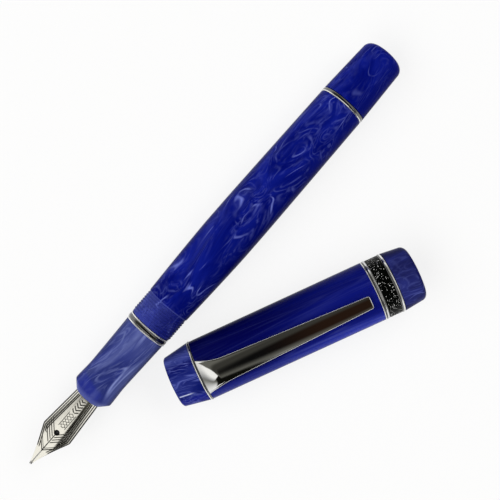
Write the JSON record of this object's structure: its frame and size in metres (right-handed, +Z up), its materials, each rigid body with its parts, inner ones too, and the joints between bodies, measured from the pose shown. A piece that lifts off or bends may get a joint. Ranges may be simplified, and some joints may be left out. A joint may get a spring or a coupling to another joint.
{
  "type": "fountain pen",
  "caption": "Uncapped fountain pen with a marbled blue resin barrel, slit steel nib and screw-filled ink converter, lying beside its open cap with a sprung pocket clip.",
  "frame": {"origin": "on the table top, under the middle of the box round pen and cap together", "axes": "+X along the pen from the nib tip to the tail, +Y from the cap towards the pen, +Z up from the table"},
  "size_m": [0.129, 0.0512, 0.0166],
  "materials": {
    "nib_steel": "polished warm steel",
    "tipping_metal": "bright hard metal",
    "feed_plastic": "satin black",
    "section_resin": "polished pale blue resin",
    "barrel_resin": "polished marbled blue resin",
    "cap_resin": "polished marbled blue resin",
    "chrome": "mirror polished",
    "clip_chrome": "mirror polished",
    "band_metal": "black with bright stipple",
    "brass": "turned",
    "black_plastic": "moulded black",
    "clear_plastic": "clear moulded",
    "seal_rubber": "soft black"
  },
  "bodies": {
    "barrel": {"barrel": "barrel_resin", "barrel_bush": "brass", "tail_ring": "chrome", "tail_cap": "barrel_resin", "tail_stud": "brass"},
    "seal": {"section_seal": "seal_rubber"},
    "ring": {"section_ring": "chrome"},
    "section": {"nib": "nib_steel", "nib_tipping": "tipping_metal", "feed": "feed_plastic", "section": "section_resin", "section_tenon": "brass", "ink_tube": "clear_plastic", "ink_tube_sleeve": "chrome", "rod_guide": "black_plastic", "mixing_ball": "tipping_metal"},
    "knob": {"converter_knob": "black_plastic"},
    "piston": {"piston_rod": "black_plastic", "piston_seal": "seal_rubber"},
    "cap": {"cap_tube": "cap_resin", "inner_cap": "black_plastic", "clip_ring": "chrome", "finial": "cap_resin", "finial_stud": "brass", "band_upper_ring": "chrome", "cap_band": "band_metal", "band_lower_ring": "chrome", "cap_lip": "cap_resin"},
    "clip": {"clip": "clip_chrome"}
  },
  "joints": [
    {"name": "section_draw", "type": "slide", "parent": "barrel", "child": "seal", "axis": [-1, 0, 0], "range_m": [0, 0.06]},
    {"name": "section_lead", "type": "slide", "parent": "seal", "child": "ring", "axis": [-1, 0, 0], "range_m": [0, 0.007]},
    {"name": "section_unscrew", "type": "hinge", "parent": "ring", "child": "section", "pos_m": [-0.0224, 0.01923, 0.00635], "axis": [-1, 0, 0], "range_deg": [0, 2525]},
    {"name": "knob_turn", "type": "hinge", "parent": "section", "child": "knob", "pos_m": [0.0135, 0.01923, 0.00635], "axis": [1, 0, 0], "range_deg": [0, 2165]},
    {"name": "piston_slide", "type": "slide", "parent": "section", "child": "piston", "axis": [-1, 0, 0], "range_m": [0, 0.016]},
    {"name": "cap_slide", "type": "slide", "parent": "barrel", "child": "cap", "axis": [0, -1, 0], "range_m": [0, 0.06]},
    {"name": "clip_flex", "type": "hinge", "parent": "cap", "child": "clip", "pos_m": [-0.0211, 0.00201, 0.01501], "axis": [-0.406, -0.9004, -0.1564], "range_deg": [0, 2.5], "stiffness_Nm_per_rad": 5}
  ],
  "couplings": [
    {"joint": "section_unscrew", "follows": "section_lead", "rad_per_m": 6283.2},
    {"joint": "knob_turn", "follows": "piston_slide", "rad_per_m": 2356.2}
  ]
}
